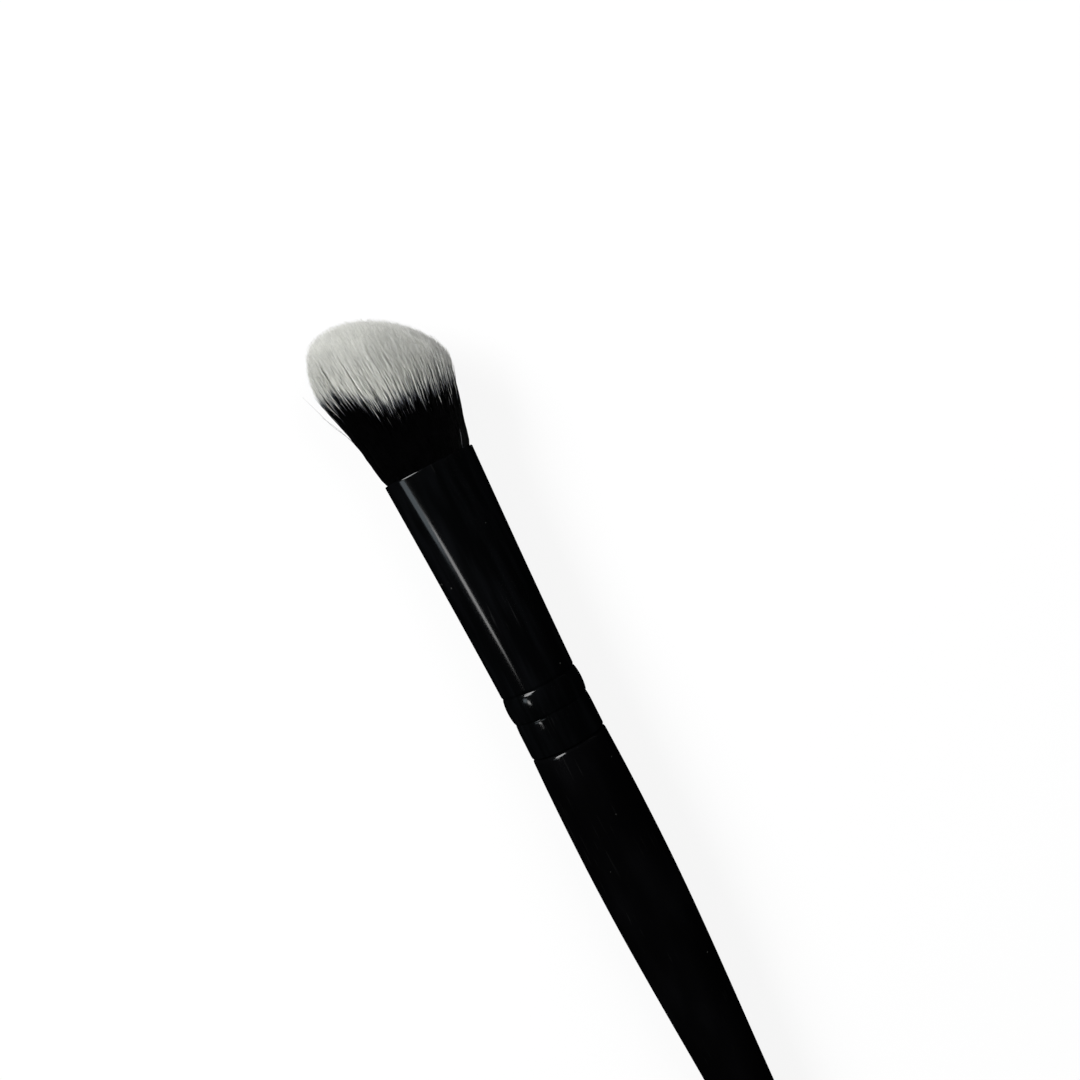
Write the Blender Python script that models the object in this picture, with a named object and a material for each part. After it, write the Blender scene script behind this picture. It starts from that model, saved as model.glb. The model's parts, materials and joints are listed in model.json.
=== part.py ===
"""Concealer brush: a lacquered handle, a flattened ferrule and a flared, angled head of dyed fibres.

The brush is built along +X, butt at x = 0 and fibre tips at the far end, its broad side facing +Z.
One empty then lays it on the table as it comes to rest, on the butt and the belly of the handle.
"""

import math

import bmesh
import bpy
from mathutils import Matrix, Vector

MM = 0.001

# Running and glue clearances
FIT_GAP = 0.1 * MM

# Handle, turned from one piece of wood; distances are measured back from the ferrule's lip
HANDLE_LENGTH = 122.0 * MM
SHOULDER_RADIUS = 4.05 * MM
SHOULDER_ROUNDING = 0.4 * MM
BELLY_RADIUS = 4.235 * MM
BELLY_FROM_LIP = 12.0 * MM
FLANK_RADIUS = 3.32 * MM
FLANK_FROM_LIP = 37.0 * MM
STEM_RADIUS = 2.2 * MM
STEM_FROM_LIP = 78.0 * MM
BUTT_RADIUS = 2.1 * MM
BUTT_ROUNDING = 2.2 * MM
BUTT_FLAT_RADIUS = 0.8 * MM
SHOULDER_SLOPE = 0.035
FLANK_SLOPE = -0.05
STEM_SLOPE = -0.009
SIDES_OF_HANDLE = 22
STEPS_PER_SWEEP = 6
STEPS_PER_ROUNDING = 4

# Tenon, the stub of the handle inside the ferrule
TENON_CHAMFER = 0.6 * MM
AIR_SPACE_PAST_TENON = 1.5 * MM

# Ferrule, a thin tube pressed flat towards its mouth
FERRULE_LENGTH = 31.0 * MM
FERRULE_WALL = 0.25 * MM
ROUND_RADIUS = 4.03 * MM
ROUND_RUN_PAST_CRIMP = 0.1 * MM
MOUTH_HALF_WIDTH = 4.85 * MM
MOUTH_HALF_THICKNESS = 3.05 * MM
FLATTENING_POWER = 1.2
RIM_ROUNDING = 0.08 * MM
SIDES_OF_FERRULE = 40
FLATTENING_STEPS = 9

# Crimp that grips the tenon: a low bead with a pressed groove on either side
BEAD_FROM_LIP = 5.1 * MM
BEAD_HALF_LENGTH = 1.4 * MM
BEAD_HEIGHT = 0.13 * MM
BEAD_STEPS = 6
GROOVE_DEPTH = 0.08 * MM
GROOVE_BOTTOM_RUN = 0.14 * MM
LIP_GROOVE_RUN = 1.0 * MM
MOUTH_GROOVE_RUN = 0.3 * MM

# Head, measured out from the mouth of the ferrule
HEAD_HALF_WIDTH = 6.95 * MM
HEAD_HALF_THICKNESS = 4.2 * MM
FLARE_LENGTH = 9.6 * MM
SHORTEST_REACH = 10.4 * MM
DOME_HEIGHT = 5.9 * MM
DOME_TILT = 2.14 * MM
DYE_LINE = 7.2 * MM
DYE_RISE = 2.0 * MM
DYE_SCATTER = 1.2 * MM

# Fibres
FIBRE_COUNT = 320
FIBRE_SIDES = 3
DYED_SPANS = 2
FIBRE_ROOT_RADIUS = 0.1 * MM
FIBRE_HEAD_RADIUS = 0.165 * MM
FIBRE_NECK_RADIUS = 0.15 * MM
FIBRE_NECK_SHARE = 0.86

# Glued root, measured in from the mouth of the ferrule
ROOT_DEPTH = 9.0 * MM
ROOT_SLICE = 2.0 * MM
ROOT_CINCH_SHARE = 0.8
GLUE_PLUG_LENGTH = 4.0 * MM
GLUE_DISH_DEPTH = 0.8 * MM
GLUE_DISH_RADIUS = 1.9 * MM
BINDING_FROM_GLUE = 1.4 * MM
BINDING_LENGTH = 1.6 * MM

GOLDEN_ANGLE = math.pi * (3 - math.sqrt(5))

LIP = HANDLE_LENGTH
MOUTH = LIP + FERRULE_LENGTH
BEAD_START = LIP + BEAD_FROM_LIP - BEAD_HALF_LENGTH
BEAD_END = LIP + BEAD_FROM_LIP + BEAD_HALF_LENGTH
FLAT_START = BEAD_END + MOUTH_GROOVE_RUN + ROUND_RUN_PAST_CRIMP
SLICE_FRONT = MOUTH - ROOT_DEPTH
SLICE_BACK = SLICE_FRONT - ROOT_SLICE
PLUG_FRONT = SLICE_BACK - FIT_GAP
PLUG_BACK = PLUG_FRONT - GLUE_PLUG_LENGTH
TENON_END = PLUG_BACK - AIR_SPACE_PAST_TENON
TENON_RADIUS = ROUND_RADIUS - FERRULE_WALL - FIT_GAP
LONGEST_REACH = SHORTEST_REACH + math.hypot(DOME_HEIGHT, DOME_TILT)


def finish(name, colour, roughness, metallic=0.0):
    """A Principled BSDF material of one colour."""
    material = bpy.data.materials.new(name)
    material.use_nodes = True
    shader = material.node_tree.nodes["Principled BSDF"]
    shader.inputs["Base Color"].default_value = (*colour, 1)
    shader.inputs["Roughness"].default_value = roughness
    shader.inputs["Metallic"].default_value = metallic
    material.diffuse_color = (*colour, 1)
    return material


def add_object(name, bm, materials, parent):
    """Turns a bmesh into a named object that rides on the parent empty."""
    bmesh.ops.recalc_face_normals(bm, faces=bm.faces)
    mesh = bpy.data.meshes.new(name)
    bm.to_mesh(mesh)
    bm.free()
    for material in materials:
        mesh.materials.append(material)
    mesh.shade_smooth()
    mesh.set_sharp_from_angle(angle=math.radians(35))
    made = bpy.data.objects.new(name, mesh)
    bpy.context.scene.collection.objects.link(made)
    made.parent = parent
    return made


def add_ring(bm, x, half_width, half_thickness, sides):
    """The corners of an oval square to the brush, with a flat side, not a corner, at its lowest point."""
    place = (
        Matrix.Translation((x, 0, 0))
        @ Matrix.Diagonal((1, half_width, half_thickness, 1))
        @ Matrix.Rotation(math.pi / sides, 4, "X")
        @ Matrix.Rotation(math.pi / 2, 4, "Y")
    )
    return bmesh.ops.create_circle(bm, segments=sides, radius=1, matrix=place)["verts"]


def skin(bm, near, far):
    """The band of faces between two rings with the same number of corners."""
    count = len(near)
    return [
        bm.faces.new((near[i], near[(i + 1) % count], far[(i + 1) % count], far[i]))
        for i in range(count)
    ]


def loft(sections, sides, is_tube=False):
    """Skins ovals given as (x, half width, half thickness); a tube joins its last oval to its first."""
    bm = bmesh.new()
    rings = [add_ring(bm, *section, sides) for section in sections]
    for near, far in zip(rings, rings[1:]):
        skin(bm, near, far)
    if is_tube:
        skin(bm, rings[-1], rings[0])
    else:
        bm.faces.new(rings[0])
        bm.faces.new(rings[-1])
    return bm


def sweep(start, end, steps):
    """Points of a smooth outline between two (x, radius, slope) stations, without the last one."""
    (x0, r0, slope0), (x1, r1, slope1) = start, end
    run = x1 - x0
    points = []
    for step in range(steps):
        t = step / steps
        radius = (
            (2 * t**3 - 3 * t**2 + 1) * r0
            + (t**3 - 2 * t**2 + t) * run * slope0
            + (3 * t**2 - 2 * t**3) * r1
            + (t**3 - t**2) * run * slope1
        )
        points.append((x0 + t * run, radius))
    return points


def handle_outline():
    """Points (x, radius) of the handle's visible outline, from the butt to the shoulder."""
    points = []
    for step in range(STEPS_PER_ROUNDING):
        angle = math.pi / 2 * step / STEPS_PER_ROUNDING
        radius = BUTT_FLAT_RADIUS + (BUTT_RADIUS - BUTT_FLAT_RADIUS) * math.sin(angle)
        points.append((BUTT_ROUNDING * (1 - math.cos(angle)), radius))
    stations = [
        (BUTT_ROUNDING, BUTT_RADIUS, 0),
        (LIP - STEM_FROM_LIP, STEM_RADIUS, -STEM_SLOPE),
        (LIP - FLANK_FROM_LIP, FLANK_RADIUS, -FLANK_SLOPE),
        (LIP - BELLY_FROM_LIP, BELLY_RADIUS, 0),
        (LIP - FIT_GAP - SHOULDER_ROUNDING, SHOULDER_RADIUS, -SHOULDER_SLOPE),
    ]
    for start, end in zip(stations, stations[1:]):
        points += sweep(start, end, STEPS_PER_SWEEP)
    for step in range(STEPS_PER_ROUNDING + 1):
        angle = math.pi / 2 * step / STEPS_PER_ROUNDING
        x = LIP - FIT_GAP - SHOULDER_ROUNDING * (1 - math.sin(angle))
        points.append((x, SHOULDER_RADIUS - SHOULDER_ROUNDING * (1 - math.cos(angle))))
    return points


def crimp_points():
    """Points (x, offset) of the crimp: the groove near the lip, the bead, and the groove towards the mouth."""
    points = [(BEAD_START - LIP_GROOVE_RUN, 0), (BEAD_START - GROOVE_BOTTOM_RUN, -GROOVE_DEPTH)]
    for step in range(BEAD_STEPS + 1):
        across = 2 * step / BEAD_STEPS - 1
        x = LIP + BEAD_FROM_LIP + BEAD_HALF_LENGTH * across
        points.append((x, BEAD_HEIGHT * (1 - across**2)))
    points += [(BEAD_END + GROOVE_BOTTOM_RUN, -GROOVE_DEPTH), (BEAD_END + MOUTH_GROOVE_RUN, 0)]
    return points


def tube_section(x, inset=0):
    """Half width and half thickness of the plain ferrule at x, drawn in by the inset."""
    along = (x - FLAT_START) / (MOUTH - FLAT_START)
    flattened = min(max(along, 0), 1) ** FLATTENING_POWER
    half_width = ROUND_RADIUS + (MOUTH_HALF_WIDTH - ROUND_RADIUS) * flattened
    half_thickness = ROUND_RADIUS + (MOUTH_HALF_THICKNESS - ROUND_RADIUS) * flattened
    return half_width - inset, half_thickness - inset


def build_handle(material, parent):
    """The handle with its tenon, which has grooves where the ferrule is crimped onto it."""
    outline = handle_outline()
    outline.append((LIP - FIT_GAP, TENON_RADIUS))
    for x, offset in crimp_points():
        outline.append((x, TENON_RADIUS + min(offset, 0)))
    front_radius = tube_section(TENON_END, FERRULE_WALL + FIT_GAP)[1]
    outline.append((FLAT_START, TENON_RADIUS))
    outline.append((TENON_END - TENON_CHAMFER, front_radius))
    outline.append((TENON_END, front_radius - TENON_CHAMFER))
    sections = [(x, radius, radius) for x, radius in outline]
    return add_object("handle", loft(sections, SIDES_OF_HANDLE), [material], parent)


def build_ferrule(material, parent):
    """The ferrule, outside from lip to mouth and inside back again."""
    offsets = [(LIP + RIM_ROUNDING, 0)] + crimp_points()
    for step in range(FLATTENING_STEPS + 1):
        x = FLAT_START + (MOUTH - RIM_ROUNDING - FLAT_START) * step / FLATTENING_STEPS
        offsets.append((x, 0))
    outside = [(x, *tube_section(x, -offset)) for x, offset in offsets]
    inside = [(x, *tube_section(x, FERRULE_WALL - offset)) for x, offset in offsets]
    rims = [(x, *tube_section(x, FERRULE_WALL / 2)) for x in (LIP, MOUTH)]
    bm = loft(rims[:1] + outside + rims[1:] + inside[::-1], SIDES_OF_FERRULE, is_tube=True)
    return add_object("ferrule", bm, [material], parent)


def bundle_section(x):
    """Half width and half thickness of the fibre bundle at x, to the centres of its outermost fibres."""
    inset = FERRULE_WALL + FIT_GAP + FIBRE_ROOT_RADIUS
    mouth = Vector(tube_section(MOUTH, inset))
    root = Vector(tube_section(SLICE_FRONT, inset)) * ROOT_CINCH_SHARE
    if x < MOUTH:
        return mouth.lerp(root, min((MOUTH - x) / ROOT_DEPTH, 1))
    head = Vector((HEAD_HALF_WIDTH, HEAD_HALF_THICKNESS))
    return mouth.lerp(head, min((x - MOUTH) / FLARE_LENGTH, 1))


def add_fibre(bm, centres, radii):
    """A three-sided strand through the centres that ends in a point; its faces past the dye line are pale."""
    rings = []
    for centre, radius in zip(centres[:-1], radii):
        place = Matrix.Translation(centre) @ Matrix.Rotation(math.pi / 2, 4, "Y")
        made = bmesh.ops.create_circle(bm, segments=FIBRE_SIDES, radius=radius, matrix=place)
        rings.append(made["verts"])
    bm.faces.new(rings[0])
    for level, (near, far) in enumerate(zip(rings, rings[1:])):
        for face in skin(bm, near, far):
            face.material_index = int(level >= DYED_SPANS)
    tip = bm.verts.new(centres[-1])
    for side in range(FIBRE_SIDES):
        face = bm.faces.new((rings[-1][side], rings[-1][(side + 1) % FIBRE_SIDES], tip))
        face.material_index = 1


def fibre_path(index):
    """Centres of one fibre from its glued root to its tip; the fibres fill the oval in a sunflower spiral."""
    out = math.sqrt((index + 0.5) / FIBRE_COUNT)
    across = out * math.cos(index * GOLDEN_ANGLE)
    deep = out * math.sin(index * GOLDEN_ANGLE)
    reach = SHORTEST_REACH + DOME_TILT * across + DOME_HEIGHT * math.sqrt(1 - out**2)
    scatter = DYE_SCATTER * ((index * GOLDEN_ANGLE) % 1 - 0.5)
    dyed = DYE_LINE + DYE_RISE * max(across, 0) ** 2 + scatter
    neck = max(FIBRE_NECK_SHARE * reach, dyed + DYE_SCATTER)
    centres = []
    for x in ((SLICE_BACK + SLICE_FRONT) / 2, MOUTH, MOUTH + dyed, MOUTH + neck, MOUTH + reach):
        half_width, half_thickness = bundle_section(x)
        centres.append(Vector((x, across * half_width, deep * half_thickness)))
    return centres


def build_fibres(materials, parent):
    """All the fibres as separate strands of one mesh, which the union with the glue then reads."""
    radii = (FIBRE_ROOT_RADIUS, FIBRE_ROOT_RADIUS, FIBRE_HEAD_RADIUS, FIBRE_NECK_RADIUS)
    bm = bmesh.new()
    for index in range(FIBRE_COUNT):
        add_fibre(bm, fibre_path(index), radii)
    strands = add_object("fibre_strands", bm, materials, parent)
    strands.hide_render = True
    strands.display_type = "WIRE"
    return strands


def build_tuft(materials, parent):
    """The head: every fibre fused to the front slice of the glue that holds the roots."""
    sections = [(x, *tube_section(x, FERRULE_WALL + FIT_GAP)) for x in (SLICE_BACK, SLICE_FRONT)]
    tuft = add_object("bristle_tuft", loft(sections, SIDES_OF_FERRULE), materials, parent)
    join = tuft.modifiers.new("Fuse fibres", "BOOLEAN")
    join.operation = "UNION"
    join.object = build_fibres(materials, parent)
    return tuft


def build_glue_plug(material, parent):
    """The rest of the cast glue behind the slice, with the dished back that it sets to."""
    sections = [(x, *tube_section(x, FERRULE_WALL + FIT_GAP)) for x in (PLUG_BACK, PLUG_FRONT)]
    dish = (PLUG_BACK + GLUE_DISH_DEPTH, GLUE_DISH_RADIUS, GLUE_DISH_RADIUS)
    bm = loft([dish] + sections, SIDES_OF_FERRULE)
    return add_object("root_glue_plug", bm, [material], parent)


def build_binding(material, parent):
    """The band of thread that ties the bundle before it is pulled into the ferrule."""
    back = SLICE_FRONT + BINDING_FROM_GLUE
    front = back + BINDING_LENGTH
    inset = FERRULE_WALL + FIT_GAP
    inner = bundle_section(front) + Vector((1, 1)) * (FIBRE_ROOT_RADIUS + FIT_GAP)
    outer = Vector((tube_section(back, inset)[0], tube_section(front, inset)[1]))
    middle = inner.lerp(outer, 0.5)
    rounding = (outer.y - inner.y) / 2
    sections = [
        (back, *middle),
        (back + rounding, *outer),
        (front - rounding, *outer),
        (front, *middle),
        (front - rounding, *inner),
        (back + rounding, *inner),
    ]
    bm = loft(sections, SIDES_OF_FERRULE, is_tube=True)
    return add_object("binding_thread", bm, [material], parent)


def lay_on_table():
    """An empty that tips the brush until butt and belly touch z = 0, and centres it over the origin."""
    flat_side = math.cos(math.pi / SIDES_OF_HANDLE)
    outline = [(x, radius * flat_side) for x, radius in handle_outline() if x >= BUTT_ROUNDING]
    butt_x, butt_drop = outline[0]
    pitch = math.atan(max((drop - butt_drop) / (x - butt_x) for x, drop in outline[1:]))
    axis = bpy.data.objects.new("brush_axis", None)
    bpy.context.scene.collection.objects.link(axis)
    axis.rotation_euler = (0, -pitch, 0)
    axis.location = (
        -(MOUTH + LONGEST_REACH) * math.cos(pitch) / 2,
        0,
        butt_drop * math.cos(pitch) - butt_x * math.sin(pitch),
    )
    return axis


def main():
    """Clears the file and builds the brush."""
    for stale in list(bpy.data.objects):
        bpy.data.objects.remove(stale)
    lacquer = finish("black_lacquer", (0.006, 0.006, 0.007), 0.28)
    black_metal = finish("black_ferrule", (0.012, 0.012, 0.014), 0.2, 0.6)
    dark_fibre = finish("dyed_fibre", (0.004, 0.004, 0.005), 0.55)
    pale_fibre = finish("pale_fibre", (0.47, 0.48, 0.44), 0.6)
    glue = finish("cast_glue", (0.35, 0.27, 0.14), 0.3)
    thread = finish("binding_cotton", (0.62, 0.58, 0.5), 0.85)
    axis = lay_on_table()
    build_handle(lacquer, axis)
    build_ferrule(black_metal, axis)
    build_tuft([dark_fibre, pale_fibre], axis)
    build_glue_plug(glue, axis)
    build_binding(thread, axis)


main()
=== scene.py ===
"""Concealer brush for the picture: a lacquered handle, a black metal ferrule and a head of fine two-tone fibres."""

import json
import logging
import math
from dataclasses import dataclass, field
from enum import Enum
from functools import partialmethod

import bmesh
import bpy
from bmesh.types import BMesh, BMFace, BMVert
from bpy.types import Material, Mesh, NodeSocket, NodeTree, Object
from mathutils import Matrix, Vector


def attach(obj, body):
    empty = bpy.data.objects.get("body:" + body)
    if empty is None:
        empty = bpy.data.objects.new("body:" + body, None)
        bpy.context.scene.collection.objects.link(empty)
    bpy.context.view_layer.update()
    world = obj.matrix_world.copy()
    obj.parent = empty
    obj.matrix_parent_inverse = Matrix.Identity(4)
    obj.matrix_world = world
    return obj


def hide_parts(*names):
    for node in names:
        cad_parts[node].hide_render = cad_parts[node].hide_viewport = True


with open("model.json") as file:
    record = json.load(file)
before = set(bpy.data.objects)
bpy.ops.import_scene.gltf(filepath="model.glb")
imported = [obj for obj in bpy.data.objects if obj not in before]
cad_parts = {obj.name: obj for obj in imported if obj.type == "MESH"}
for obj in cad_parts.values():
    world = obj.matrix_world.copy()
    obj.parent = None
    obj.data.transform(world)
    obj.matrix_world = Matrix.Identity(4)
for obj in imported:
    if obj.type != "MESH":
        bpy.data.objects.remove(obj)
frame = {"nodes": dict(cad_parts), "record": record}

MM = 0.001
GOLDEN_ANGLE = math.pi * (3 - math.sqrt(5))
SHARP_ANGLE = math.radians(50)
CORNER_CUT = 0.25
FIBRE_MAP = "OFBake"
FIBRE_FACTS = (
    "across", "deep", "reach", "dye_line", "tone", "lean_wide", "lean_thick", "phase", "height", "thickness", "around",
)

Point = tuple[float, float]
Range = tuple[float, float]
Ramp = tuple[float, float, float, float]
Spot = tuple[float, float, float]
Colour = tuple[float, float, float]

log = logging.getLogger("concealer_brush")


class Layer(Enum):
    """The layers that the head's fibres are made in, as shares of all fibres from the middle outwards."""

    HEART = (0.0, 0.167)
    CORE = (0.167, 0.333)
    INNER = (0.333, 0.5)
    MANTLE = (0.5, 0.667)
    OUTER = (0.667, 0.833)
    SHELL = (0.833, 1.0)


class Draw(Enum):
    """What each fibre draws at random; the number sets one draw apart from the others."""

    ACROSS = 1
    DEEP = 2
    REACH = 3
    LINE = 4
    LINE_AGAIN = 5
    TONE = 6
    LEAN_WIDE = 7
    LEAN_THICK = 8
    PHASE = 9
    STRAGGLE = 10


@dataclass(frozen=True)
class BrushAxis:
    """Where the brush lies: its butt's middle and its tilt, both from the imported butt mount."""

    butt: Vector
    tilt: float

    @classmethod
    def from_record(cls, record: dict) -> "BrushAxis":
        """Reads the axis from the mount that faces out of the butt.

        Args:
            record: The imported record.

        Returns:
            The axis.
        """
        mount = next(m for m in record["mounts"] if m["name"] == "butt_flat")
        out = Vector(mount["axis"])
        return cls(Vector(mount["pos_m"]), math.atan2(-out.z, -out.x))

    def place(self, mesh: Mesh) -> Mesh:
        """Moves a mesh from brush coordinates (x from the butt, y to the long side, z up) to the frame's.

        Args:
            mesh: The mesh.

        Returns:
            The same mesh.
        """
        mesh.transform(Matrix.Translation(self.butt) @ Matrix.Rotation(-self.tilt, 4, "Y"))
        mesh.update()
        return mesh


class Value:
    """An output in a node tree, so that formulas are written as such and become Math nodes."""

    def __init__(self, graph: "Graph", socket: NodeSocket) -> None:
        """Takes an output of a tree's node."""
        self.graph, self.socket = graph, socket

    def math(self, operation: str, *others: object) -> "Value":
        """The result of a Math node that takes this number and then the others."""
        return self.graph.math(operation, self, *others)

    __add__ = partialmethod(math, "ADD")
    __sub__ = partialmethod(math, "SUBTRACT")
    __mul__ = partialmethod(math, "MULTIPLY")
    __truediv__ = partialmethod(math, "DIVIDE")
    __pow__ = partialmethod(math, "POWER")
    __abs__ = partialmethod(math, "ABSOLUTE")
    at_least = partialmethod(math, "MAXIMUM")
    at_most = partialmethod(math, "MINIMUM")

    def __rsub__(self, other: float) -> "Value":
        """A plain number less this one."""
        return self.graph.math("SUBTRACT", other, self)

    def between(self, low: object, high: object) -> "Value":
        """The number that lies this share of the way from low to high."""
        return self * (high - low) + low

    def tint(self, low: object, high: object) -> "Value":
        """The colour that lies this share of the way from low to high."""
        return self.graph.out("ShaderNodeMix", {0: self, 6: low, 7: high}, data_type="RGBA")

    def ramp(self, start: object, end: object, low: float = 0.0, high: float = 1.0) -> "Value":
        """A smooth rise from low to high while this number goes from start to end."""
        inputs = {"Value": self, "From Min": start, "From Max": end, "To Min": low, "To Max": high}
        return self.graph.out("ShaderNodeMapRange", inputs, interpolation_type="SMOOTHSTEP")

    def noise(self, scale: object, detail: float) -> "Value":
        """A noise pattern over this place, from 0 to 1."""
        return self.graph.out("ShaderNodeTexNoise", {"Vector": self, "Scale": scale, "Detail": detail})


class Graph:
    """A node tree under construction, whose nodes take plain values or other nodes' outputs alike."""

    def __init__(self, tree: NodeTree) -> None:
        """Starts on a shader or geometry tree."""
        self.tree = tree

    def feed(self, socket: NodeSocket, value: object) -> None:
        """Links or sets one input.

        Args:
            socket: The input.
            value: An output to link from, or a plain value, such as a colour without its alpha.
        """
        if isinstance(value, Value):
            self.tree.links.new(value.socket, socket)
        else:
            socket.default_value = (*value, 1) if socket.type == "RGBA" else value

    def add(self, kind: str, inputs: dict[str | int, object] | None = None, **options: object) -> dict[str, Value]:
        """Adds a node.

        Args:
            kind: The node's type.
            inputs: Its inputs by name or number.
            **options: Its settings, such as an operation or a data type.

        Returns:
            Its outputs that are in use, by name.
        """
        node = self.tree.nodes.new(kind)
        for name, value in options.items():
            setattr(node, name, value)
        for key, value in (inputs or {}).items():
            named = (s for s in node.inputs if s.enabled and s.name == key)
            self.feed(node.inputs[key] if isinstance(key, int) else next(named), value)
        return {s.name: Value(self, s) for s in node.outputs if s.enabled}

    def out(self, kind: str, inputs: dict[str | int, object] | None = None, **options: object) -> Value:
        """Adds a node as add does, and gives its first output."""
        return next(iter(self.add(kind, inputs, **options).values()))

    def math(self, operation: str, *values: object) -> Value:
        """The result of a Math node that takes the values in order."""
        return self.out("ShaderNodeMath", dict(enumerate(values)), operation=operation)


class MaterialGraph(Graph):
    """The node tree of a new material, whose shader is fed last."""

    def __init__(self, name: str) -> None:
        """Makes the material.

        Args:
            name: Its name.
        """
        self.material = bpy.data.materials.new(name)
        self.material.use_nodes = True
        super().__init__(self.material.node_tree)

    def place(self) -> Value:
        """The point's place in the frame."""
        return self.add("ShaderNodeTexCoord")["Object"]

    def place_along(self, axis: BrushAxis) -> Value:
        """The point's place, turned so that x runs along the brush."""
        return self.out("ShaderNodeMapping", {"Vector": self.place(), "Rotation": (0, axis.tilt, 0)})

    def relief(self, height: Value) -> Value:
        """The normal of a relief whose height is in metres."""
        return self.out("ShaderNodeBump", {"Height": height, "Distance": 1.0, "Strength": 1.0})

    def dressed(self, inputs: dict[str, object]) -> Material:
        """Feeds the shader.

        Args:
            inputs: Its inputs by name.

        Returns:
            The finished material.
        """
        for name, value in inputs.items():
            self.feed(self.tree.nodes["Principled BSDF"].inputs[name], value)
        return self.material


def group_sockets(tree: NodeTree, inputs: dict[str, tuple[str, object]], outputs: dict[str, str]) -> None:
    """Gives a node tree its inputs and outputs.

    Args:
        tree: The tree.
        inputs: Socket types and defaults by name.
        outputs: Socket types by name.
    """
    for name, (kind, default) in inputs.items():
        socket = tree.interface.new_socket(name=name, in_out="INPUT", socket_type=kind)
        if default is not None:
            socket.default_value = default
    for name, kind in outputs.items():
        tree.interface.new_socket(name=name, in_out="OUTPUT", socket_type=kind)


@dataclass(frozen=True)
class HandlingMarks:
    """The marks that handling leaves on a hard glossy coat: fine scratches, smears and a few specks of dust.

    Each range says between which values of its pattern a mark fades in.
    """

    scratch_stretch: Spot = (0.03, 1.0, 1.0)
    scratch_lines: Range = (0.66, 0.74)
    scratch_breaks: Range = (0.5, 0.62)
    scratch_depth: float = 0.5
    smears: Range = (0.35, 0.7)
    dusty_cells: Range = (0.982, 0.988)
    speck: Range = (0.16, 0.1)

    def group(self) -> NodeTree:
        """Builds the marks.

        Returns:
            A shader group with the masks Scratches, Smears and Dust, each from 0 to 1, and a Height.
        """
        tree = bpy.data.node_groups.new("handling_marks", "ShaderNodeTree")
        scales = {"Scratch Density": 6000.0, "Smear Size": 120.0, "Dust Density": 1400.0}
        inputs = {"Vector": ("NodeSocketVector", None)}
        inputs |= {name: ("NodeSocketFloat", value) for name, value in scales.items()}
        group_sockets(tree, inputs, dict.fromkeys(("Scratches", "Smears", "Dust", "Height"), "NodeSocketFloat"))
        graph = Graph(tree)
        given = graph.add("NodeGroupInput")
        where = given["Vector"]
        stretched = graph.out("ShaderNodeVectorMath", {0: where, 1: self.scratch_stretch}, operation="MULTIPLY")
        lines = stretched.noise(given["Scratch Density"], detail=1.0)
        broken = where.noise(given["Smear Size"], detail=3.0)
        scratches = lines.ramp(*self.scratch_lines) * broken.ramp(*self.scratch_breaks)
        cells = graph.add("ShaderNodeTexVoronoi", {"Vector": where, "Scale": given["Dust Density"]})
        rare = graph.add("ShaderNodeSeparateColor", {"Color": cells["Color"]})["Red"]
        dust = rare.ramp(*self.dusty_cells) * cells["Distance"].ramp(*self.speck)
        marks = {"Scratches": scratches, "Smears": broken.ramp(*self.smears), "Dust": dust}
        graph.add("NodeGroupOutput", marks | {"Height": dust - scratches * self.scratch_depth})
        return tree


@dataclass(frozen=True)
class CoatFinish:
    """A hard black coat over wood or metal, with its gloss, ripple and handling marks.

    Its gloss fades out towards the rim, over rim_fade, which keeps the white surroundings out of it.
    """

    name: str
    deep: Colour
    lifted: Colour
    roughness: Range
    ripple_scale: float
    ripple_height: float
    ripple_stretch: float
    dust: float
    ripple_tones: Range = (0.35, 0.75)
    scratch: float = 0.15
    scratch_colour: Colour = (0.03, 0.03, 0.03)
    scratch_roughness: float = 0.12
    dust_colour: Colour = (0.3, 0.3, 0.28)
    mark_height: float = 0.0015 * MM
    specular: float = 0.28
    rim_fade: Range = (0.17, 0.285)

    def material(self, axis: BrushAxis, marks: NodeTree) -> Material:
        """Makes the coat's material.

        Args:
            axis: The brush's axis, which the pattern runs along.
            marks: The shared group of handling marks.

        Returns:
            The material.
        """
        graph = MaterialGraph(self.name)
        turned = graph.place_along(axis)
        drawn = graph.out("ShaderNodeMapping", {"Vector": turned, "Scale": (self.ripple_stretch, 1, 1)})
        ripple = drawn.noise(self.ripple_scale, detail=2.0)
        mark = graph.add("ShaderNodeGroup", {"Vector": turned}, node_tree=marks)
        base = ripple.ramp(*self.ripple_tones).tint(self.deep, self.lifted)
        base = (mark["Scratches"] * self.scratch).tint(base, self.scratch_colour)
        facing = graph.add("ShaderNodeLayerWeight", {"Blend": 0.5})["Facing"]
        return graph.dressed({
            "Base Color": (mark["Dust"] * self.dust).tint(base, self.dust_colour),
            "Roughness": mark["Smears"].between(*self.roughness) + mark["Scratches"] * self.scratch_roughness,
            "Normal": graph.relief(mark["Height"] * self.mark_height + ripple * self.ripple_height),
            "Specular IOR Level": facing.ramp(*self.rim_fade, self.specular, 0.0),
        })


LACQUER = CoatFinish(
    "black_lacquer", deep=(0.0008, 0.0008, 0.0009), lifted=(0.002, 0.002, 0.0023), roughness=(0.08, 0.11),
    ripple_scale=260.0, ripple_height=0.001 * MM, ripple_stretch=0.35, dust=0.12,
)
BLACK_METAL = CoatFinish(
    "black_metal", deep=(0.0008, 0.0009, 0.001), lifted=(0.0022, 0.0024, 0.0028), roughness=(0.1, 0.13),
    ripple_scale=900.0, ripple_height=0.0006 * MM, ripple_stretch=0.12, dust=0.1,
)


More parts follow.
